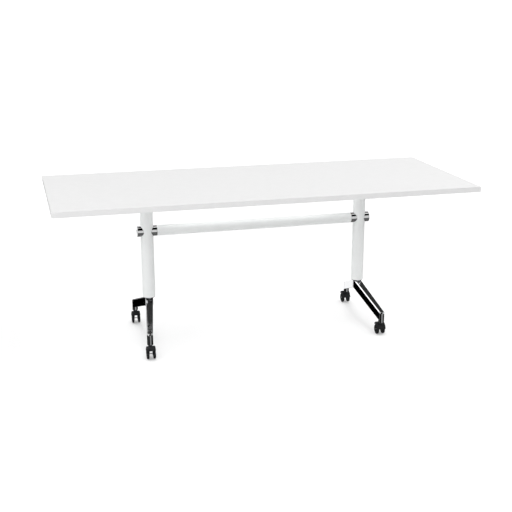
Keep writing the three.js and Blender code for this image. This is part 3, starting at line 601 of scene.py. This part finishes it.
plate = prism(rectangle(150, 140, 12), "z", 730, UNDERSIDE, 0.7)
lean, reach = math.atan2(32, 41), math.hypot(32, 41)
touch = math.degrees(math.pi / 2 + lean + math.acos(18 / reach))
cheek_line = np.concatenate([[(32, 731), (-32, 731)], arc((0, HINGE_Z), 18, touch, 540 - touch, 32)])
cheeks = [prism(cheek_line, "x", a, b, 0.8) for a, b in ((22.1, 28.1), (-28.1, -22.1))]
pin_bore = moved(rod(PIN_BORE, -35, 35, "x"), COLUMN_X, 0, HINGE_Z)
screw_holes = [moved(rod(SCREW_HOLE, 720, 740), COLUMN_X + x, y) for x, y in SCREW_PLACES]
add_pair("top_bracket", [moved(s, COLUMN_X) for s in (plate, *cheeks)], cutters=[pin_bore, *screw_holes])

screw_line = rounded([(0, 751), (2.5, 748), (2.5, 730), (5.5, 730), (5.5, 728.5), (4, 727), (3.2, 727)],
                     [0, 0.3, 0.1, 0.2, 0.6, 0.6, 0])
screw = socket_bolt(screw_line, (1.9, 728.4), "z", 48)
for number, (x, y) in enumerate(SCREW_PLACES, 1):
    add_pair(f"bracket_screw_{number}", [moved(screw, COLUMN_X + x, y)])
print("hinge plates and screws made")

# %% Pins, bushes, washers and release levers
add_pair("hinge_bush", [moved(ring(PIN_BORE, 10, -20, 20, "x", 0.5), COLUMN_X, 0, HINGE_Z)])
add_pair("outer_friction_washer", [moved(ring(PIN_BORE, 17, 20.3, 21.8, "x", 0.2), COLUMN_X, 0, HINGE_Z)])
add_pair("inner_friction_washer", [moved(ring(PIN_BORE, 17, -21.8, -20.3, "x", 0.2), COLUMN_X, 0, HINGE_Z)])
pin_line = rounded([(0, -34.1), (12, -34.1), (12, -28.1), (7, -28.1), (7, 44.1), (0, 44.1)],
                   [0, 1.4, 0.3, 0.2, 0.8, 0])
add_pair("hinge_pin", [moved(turned(pin_line, "x"), COLUMN_X, 0, HINGE_Z)])

heading = math.degrees(math.atan2(-14, 96))
spread = math.degrees(math.acos(5 / math.hypot(96, 14)))
lever_line = np.concatenate([arc((0, 0), 14, heading + spread, heading - spread + 360, 40),
                             arc((96, -14), 9, heading - spread, heading + spread, 24)])
lever_arm = prism(lever_line, "x", 38.4, 47.4, 1.8)
lever_hub = turned(rounded([(0, 28.4), (14, 28.4), (14, 47.3), (0, 47.3)], [0, 0.8, 1.8, 0]), "x")
lever_bore = rod(PIN_BORE, 20, 44.4, "x")
add_pair("release_lever", [moved(s, COLUMN_X, 0, HINGE_Z) for s in (lever_arm, lever_hub)],
         cutters=[moved(lever_bore, COLUMN_X, 0, HINGE_Z)])
print("hinge pins and levers made")

# %% [markdown]
# ## Casters
# Each caster has a steel stem in the foot's nose, a black hood that turns on it and
# two wheels on an axle behind the stem. The hood's cover is a crescent between an
# outer arc and the wheel well. Its sides are rounded by letting the outer arc shrink
# towards them. A block between the wheels, a fork for the axle and a round boss finish
# it. The wheels are turned, with a crowned tread, a rim and a dished face.

# %% Caster surfaces
WHEEL_RADIUS, TRAIL = 25.0, 16.0
WHEEL_CENTRE = (TRAIL, WHEEL_RADIUS)
HOOD_CENTRE, HOOD_RADIUS, HOOD_BOTTOM = (TRAIL, 32.5), 29.0, 46.11
WELL_RADIUS, HOOD_HALF, FORK_FACE, STEM_ANGLE = 26.0, 20.5, 10.2, -2.0

stem_line = rounded([(0, 43), (4, 43), (4, 62), (12, 62), (12, NOSE_BOTTOM), (5.5, NOSE_BOTTOM),
                     (5.5, 94), (0, 94)], [0, 0.6, 0.2, 0.5, 0.5, 0.2, 0.8, 0])
stem = turned(stem_line, "z", 48)


def hood_arch(shrink, steps=44):
    """The hood's outer line, from its lip behind the wheels over the top to the lip on
    the stem's side. It shrinks fully on top and by a third at the stem's lip."""
    low = np.arcsin((HOOD_BOTTOM - HOOD_CENTRE[1]) / (HOOD_RADIUS - shrink))
    angle = np.linspace(low, np.radians(180 - STEM_ANGLE), steps + 1)
    share = np.clip((angle - np.radians(110)) / np.radians(72), 0, 1)
    radius = HOOD_RADIUS - shrink * (1 - 0.66 * share * share * (3 - 2 * share))
    return np.asarray(HOOD_CENTRE) + np.stack([radius * np.cos(angle), radius * np.sin(angle)], 1)


def hood_cover(edge):
    """The cover, row by row across it: the outer line follows a rounded rim and the
    well under it stays the same."""
    deep = edge / 0.43
    rim = rounded([(deep, -HOOD_HALF), (0, -HOOD_HALF), (0, HOOD_HALF), (deep, HOOD_HALF)], edge)
    well = arc(WHEEL_CENTRE, WELL_RADIUS, 165.3, 54.3, 44)
    rows = np.stack([np.concatenate([hood_arch(d), well]) for d in rim[:, 0]])
    across = np.broadcast_to(rim[:, 1, None, None], rows.shape[:2] + (1,))
    return grid_shell(np.concatenate([across, rows], -1), cap_first=True, cap_last=True)


block = prism(hood_arch(0.3), "x", -FORK_FACE, FORK_FACE, 0.5)
fork_line = np.concatenate([[(TRAIL - 12, 49.1)], arc(WHEEL_CENTRE, 6.5, 180, 360, 20), [(TRAIL + 12, 49.1)]])
forks = [prism(fork_line, "x", a, b, 0.4) for a, b in ((7.7, FORK_FACE), (-FORK_FACE, -7.7))]
boss_line = rounded([(0, 42.7), (10, 42.7), (10, 61.7), (0, 61.7)], [0, 0.4, 0.8, 0])
hood = [hood_cover(3.2), block, *forks, turned(boss_line, "z", 64)]
hood_bores = [rod(4.3, 30, 70), moved(rod(2.8, -30, 30, "x"), 0, TRAIL, WHEEL_RADIUS)]

axle_line = rounded([(0, -20), (2.5, -20), (2.5, 20), (0, 20)], [0, 0.6, 0.6, 0])
axle = turned(axle_line, "x", 32)

wheel_line = rounded(
    [(2.8, 10.5), (22.8, 10.5), (24.7, 11.4), (25, 15.25), (24.7, 19.1), (22.8, 20), (19, 20), (17, 17.5),
     (10, 17.5), (8, 20), (2.8, 20)],
    [0.3, 0.9, 1.2, 12, 1.2, 0.8, 0.6, 0.6, 0.6, 0.6, 0.3], closed=True, steps=4)
wheel = turned(wheel_line, "x", 72, closed=True)

# %% Place the four casters


def turned_round(shell):
    """The same shell after half a turn about the stem."""
    return shell[0] * np.array([-1, -1, 1]), shell[1]


for word, side in SIDES:
    for end, towards in (("front", -1), ("rear", 1)):
        corner = f"{end}_{word}"
        x, y = side * (COLUMN_X + STEM_OUT), towards * STEM_Y
        facing = turned_round if side < 0 else moved
        add_piece(f"{corner}_caster_stem", [moved(stem, x, y)])
        add_piece(f"{corner}_caster_hood", [moved(facing(s), x, y) for s in hood],
                  cutters=[moved(facing(s), x, y) for s in hood_bores])
        axle_y = y + side * TRAIL
        add_piece(f"{corner}_axle", [moved(axle, x, axle_y, WHEEL_RADIUS)])
        for letter, hand in (("a", -1), ("b", 1)):
            points = wheel[0] * np.array([hand, 1, 1])
            add_piece(f"{corner}_wheel_{letter}", [moved((points, wheel[1]), x, axle_y, WHEEL_RADIUS)])
print(len(made), "pieces stand for", len(BODY_OF), "nodes")

# %% [markdown]
# ## Floor
# A product set has a pale sweep that runs on past the picture. A flat plane, far
# larger than the table, stands in for it. A little light of its own keeps it white.
# That light dips round the table as painted shade, like the shade on a real floor under a table,
# so the faint arcs of shadow between the casters show. From below, the plane is clear to the
# camera, so the underside can be looked at. A shadow catcher would need a compositor, and this
# floor needs only its own material.

# %% Arithmetic in a shader tree


def math_node(operation, first, second=None):
    """One step of arithmetic on sockets or numbers, in the tree being built."""
    node = tree.nodes.new("ShaderNodeMath")
    node.operation = operation
    for socket, value in zip(node.inputs, (first, second)):
        if isinstance(value, (int, float)):
            socket.default_value = value
        elif value is not None:
            tree.links.new(value, socket)
    return node.outputs["Value"]


def soft_step(value, low, high):
    """0 below low, 1 above high and a smooth ramp between."""
    node = tree.nodes.new("ShaderNodeMapRange")
    node.interpolation_type = "SMOOTHSTEP"
    node.inputs["From Min"].default_value = low
    node.inputs["From Max"].default_value = high
    tree.links.new(value, node.inputs["Value"])
    return node.outputs["Result"]


# %% Studio floor
FLOOR_HALF, FLOOR_Z = 250.0, -0.0003
FLOOR_GLOW, GLOW_DIP = 0.36, 0.12
FAR_GLOW, FAR_RANGE = 0.3, (6.0, 30.0)
DIP_LENGTH, DIP_DEPTH = 1.15, 0.68
floor_mesh = bpy.data.meshes.new("floor")
floor_corners = [(x * FLOOR_HALF, y * FLOOR_HALF, FLOOR_Z) for x, y in ((-1, -1), (1, -1), (1, 1), (-1, 1))]
floor_mesh.from_pydata(floor_corners, [], [(0, 1, 2, 3)])
floor = bpy.data.objects.new("floor", floor_mesh)
bpy.context.scene.collection.objects.link(floor)
floor.visible_glossy = False
pale = bpy.data.materials.new("pale_floor")
pale.use_nodes = True
tree = pale.node_tree
pale_shader = tree.nodes["Principled BSDF"]
pale_shader.inputs["Base Color"].default_value = (0.65, 0.65, 0.65, 1)
pale_shader.inputs["Roughness"].default_value = 1.0
pale_shader.inputs["Specular IOR Level"].default_value = 0.0
pale_shader.inputs["Emission Color"].default_value = (1, 1, 1, 1)
rays = tree.nodes.new("ShaderNodeLightPath").outputs
seen = math_node("MAXIMUM", math_node("MAXIMUM", rays["Is Camera Ray"], rays["Is Glossy Ray"]),
                 rays["Is Transmission Ray"])
spot = tree.nodes.new("ShaderNodeSeparateXYZ")
tree.links.new(tree.nodes.new("ShaderNodeTexCoord").outputs["Object"], spot.inputs["Vector"])
along = math_node("DIVIDE", spot.outputs["X"], DIP_LENGTH)
across = math_node("DIVIDE", spot.outputs["Y"], DIP_DEPTH)
round_table = math_node("ADD", math_node("MULTIPLY", along, along), math_node("MULTIPLY", across, across))
# Painted shade: the floor's own glow is lowered round the table.
dip = math_node("MULTIPLY", soft_step(round_table, 1.0, 0.2), GLOW_DIP)
far = math_node("MULTIPLY", soft_step(round_table, *FAR_RANGE), FAR_GLOW)
glow = math_node("MULTIPLY", seen, math_node("ADD", math_node("SUBTRACT", FLOOR_GLOW, dip), far))
tree.links.new(glow, pale_shader.inputs["Emission Strength"])
under_floor = math_node("MULTIPLY", tree.nodes.new("ShaderNodeNewGeometry").outputs["Backfacing"],
                        rays["Is Camera Ray"])
clear = tree.nodes.new("ShaderNodeMixShader")
tree.links.new(under_floor, clear.inputs["Fac"])
tree.links.new(pale_shader.outputs["BSDF"], clear.inputs[1])
tree.links.new(tree.nodes.new("ShaderNodeBsdfTransparent").outputs["BSDF"], clear.inputs[2])
tree.links.new(clear.outputs["Shader"], tree.nodes["Material Output"].inputs["Surface"])
floor_mesh.materials.append(pale)

# %% [markdown]
# ## World
# Polished metal shows what is round it. The set is white overhead and dark below the
# horizon, apart from a few bright panels. Mirrors turn these into the bright and dark
# bands of the feet and collars. The dark flags in the sky act on mirror rays only, and
# the floor, the columns and the pieces above them are kept out of mirrors, so the plain
# light on the table stays as it is. An HDR picture of a studio could do the same, but
# sectors of azimuth and height can be set one by one.

# %% Studio world
world = bpy.data.worlds.new("studio")
bpy.context.scene.world = world
world.use_nodes = True
tree = world.node_tree
sky = tree.nodes["Background"]
sky.inputs["Color"].default_value = (1, 1, 1, 1)
direction = tree.nodes.new("ShaderNodeTexCoord").outputs["Generated"]
split = tree.nodes.new("ShaderNodeSeparateXYZ")
tree.links.new(direction, split.inputs["Vector"])


def panel_light(azimuth, half_width, softness):
    """1 inside a sector about an azimuth in degrees, from the cosine between the level
    direction and the sector's middle."""
    a = math.radians(azimuth)
    level = math_node("SQRT", math_node("ADD", math_node("MULTIPLY", split.outputs["X"], split.outputs["X"]),
                                        math_node("MULTIPLY", split.outputs["Y"], split.outputs["Y"])))
    dot = math_node("ADD", math_node("MULTIPLY", split.outputs["X"], math.cos(a)),
                    math_node("MULTIPLY", split.outputs["Y"], math.sin(a)))
    near = math_node("DIVIDE", dot, level)
    low, high = math.radians(half_width + softness), math.radians(half_width)
    return soft_step(near, math.cos(low), math.cos(high))


SKY_LOW, SKY_RISE = 0.56, 0.62
height = split.outputs["Z"]
above = soft_step(height, -0.02, 0.06)
below = math_node("SUBTRACT", 1.0, above)
dome = math_node("ADD", math_node("MULTIPLY", height, SKY_RISE), SKY_LOW)
card_rise = math_node("MULTIPLY", soft_step(height, 0.36, 0.42), soft_step(height, 0.66, 0.54))
card = math_node("MULTIPLY", panel_light(131, 28, 10), card_rise)
upper = math_node("MULTIPLY", above, math_node("ADD", dome, math_node("MULTIPLY", card, 0.75)))

rear_reach = math_node("MULTIPLY", soft_step(height, -0.6, -0.4), 1.12)
rear_panel = math_node("MULTIPLY", panel_light(81, 17.5, 3), rear_reach)
left_panel = math_node("MULTIPLY", panel_light(180, 20, 10), 0.06)
front_rise = math_node("MULTIPLY", soft_step(height, -0.45, -0.1), 0.8)
front_panel = math_node("MULTIPLY", panel_light(-78, 25, 6), math_node("ADD", front_rise, 0.14))
nadir = math_node("MULTIPLY", soft_step(height, -0.45, -0.65), 0.13)
panels = math_node("ADD", math_node("ADD", rear_panel, left_panel), math_node("MAXIMUM", front_panel, nadir))
lower = math_node("MULTIPLY", below, panels)


def band(low, high):
    """1 between two heights on the sky."""
    return math_node("MULTIPLY", soft_step(height, low - 0.02, low + 0.02),
                     soft_step(height, high + 0.02, high - 0.02))


FLAG_SHADE = 0.965
side_flag = math_node("MULTIPLY", panel_light(42, 13, 3), band(0.0, 0.45))
rear_flag = math_node("MULTIPLY", panel_light(69, 31, 4), band(0.34, 0.92))
front_flag = math_node("MULTIPLY", panel_light(-78, 50, 8), soft_step(height, 0.47, 0.53))
grey_flags = math_node("MULTIPLY", math_node("MAXIMUM", side_flag, rear_flag), FLAG_SHADE)
flags = math_node("MAXIMUM", grey_flags, front_flag)
rays = tree.nodes.new("ShaderNodeLightPath").outputs
shade = math_node("MULTIPLY", flags, rays["Is Glossy Ray"])
light = math_node("MULTIPLY", math_node("ADD", upper, lower), math_node("SUBTRACT", 1.0, shade))
tree.links.new(math_node("MAXIMUM", light, rays["Is Camera Ray"]), sky.inputs["Strength"])

OVERHEAD = ("table_top", "edge_band", "column", "column_head", "top_bracket", "release_lever", "hinge_pin")
for piece in made:
    piece.visible_glossy = not piece.name.removesuffix("_surface").endswith(OVERHEAD)

# %% [markdown]
# ## Lamps
# A wide key lamp at the left front and a large fill at the right shade the columns
# softly. A strip and a beam under the top lift the upper side of the cross tube and
# the floor between the feet, which light from the whole studio reaches on a real set.
# Both are linked to the pieces below the top only, so that the top gets no streak
# from them when it flips.

# %% Soft lamps


def soft_lamp(name, place, target, size, watts):
    """An area lamp of a length and depth, aimed from one place at another. It lights
    the set, but the camera and mirrors do not see it."""
    lamp = bpy.data.lights.new(name, "AREA")
    lamp.shape = "RECTANGLE"
    lamp.size, lamp.size_y = size
    lamp.energy = watts
    obj = bpy.data.objects.new(name, lamp)
    aim = np.array(target) - np.array(place)
    flat = math.hypot(aim[0], aim[1])
    obj.location = place
    obj.rotation_euler = (math.atan2(flat, -aim[2]), 0, math.atan2(-aim[0], aim[1]))
    obj.visible_camera = obj.visible_glossy = False
    bpy.context.scene.collection.objects.link(obj)
    return obj


soft_lamp("key", (-3.8, -3.4, 1.6), (0, 0, 0.4), (2.4, 1.2), 52)
soft_lamp("fill", (3.4, -0.8, 2.6), (0, 0, 0.5), (3.0, 3.0), 25)
wide_lamp = soft_lamp("under_wide", (0, 0, 0.73), (0, 0, 0), (1.7, 0.25), 2.2)
beam_lamp = soft_lamp("under_beam", (0, 0, 0.5), (0, 0, 0), (2.1, 1.3), 3.3)
beam_lamp.data.spread = math.radians(36)
TOP_BODIES = ("top", "left_lever", "right_lever")
lit_below = bpy.data.collections.new("lit_below")
lit_below.objects.link(floor)
for piece in made:
    if BODY_OF[piece.name.removesuffix("_surface")] not in TOP_BODIES:
        lit_below.objects.link(piece)
for lamp in (wide_lamp, beam_lamp):
    lamp.light_linking.receiver_collection = lit_below

# %% [markdown]
# ## Camera
# A perspective camera was fitted to the straight edges of the top, the columns and
# the cross tube: its place, its two turns and its focal length in pixels.

# %% Camera
FOCAL_PIXELS, FRAME_PIXELS = 950.399, 512
PITCH_DOWN, YAW = 16.4625, 14.9307
camera_data = bpy.data.cameras.new("camera")
camera_data.sensor_width = 36
camera_data.lens = FOCAL_PIXELS * camera_data.sensor_width / FRAME_PIXELS
camera_data.clip_end = 1000
camera = bpy.data.objects.new("camera", camera_data)
camera.location = (-1.168505, -4.384883, 1.721114)
camera.rotation_euler = (math.radians(90 - PITCH_DOWN), 0, math.radians(-YAW))
bpy.context.scene.collection.objects.link(camera)
bpy.context.scene.camera = camera
bpy.context.scene.view_settings.view_transform = "Standard"
print("lens", round(camera_data.lens, 3))
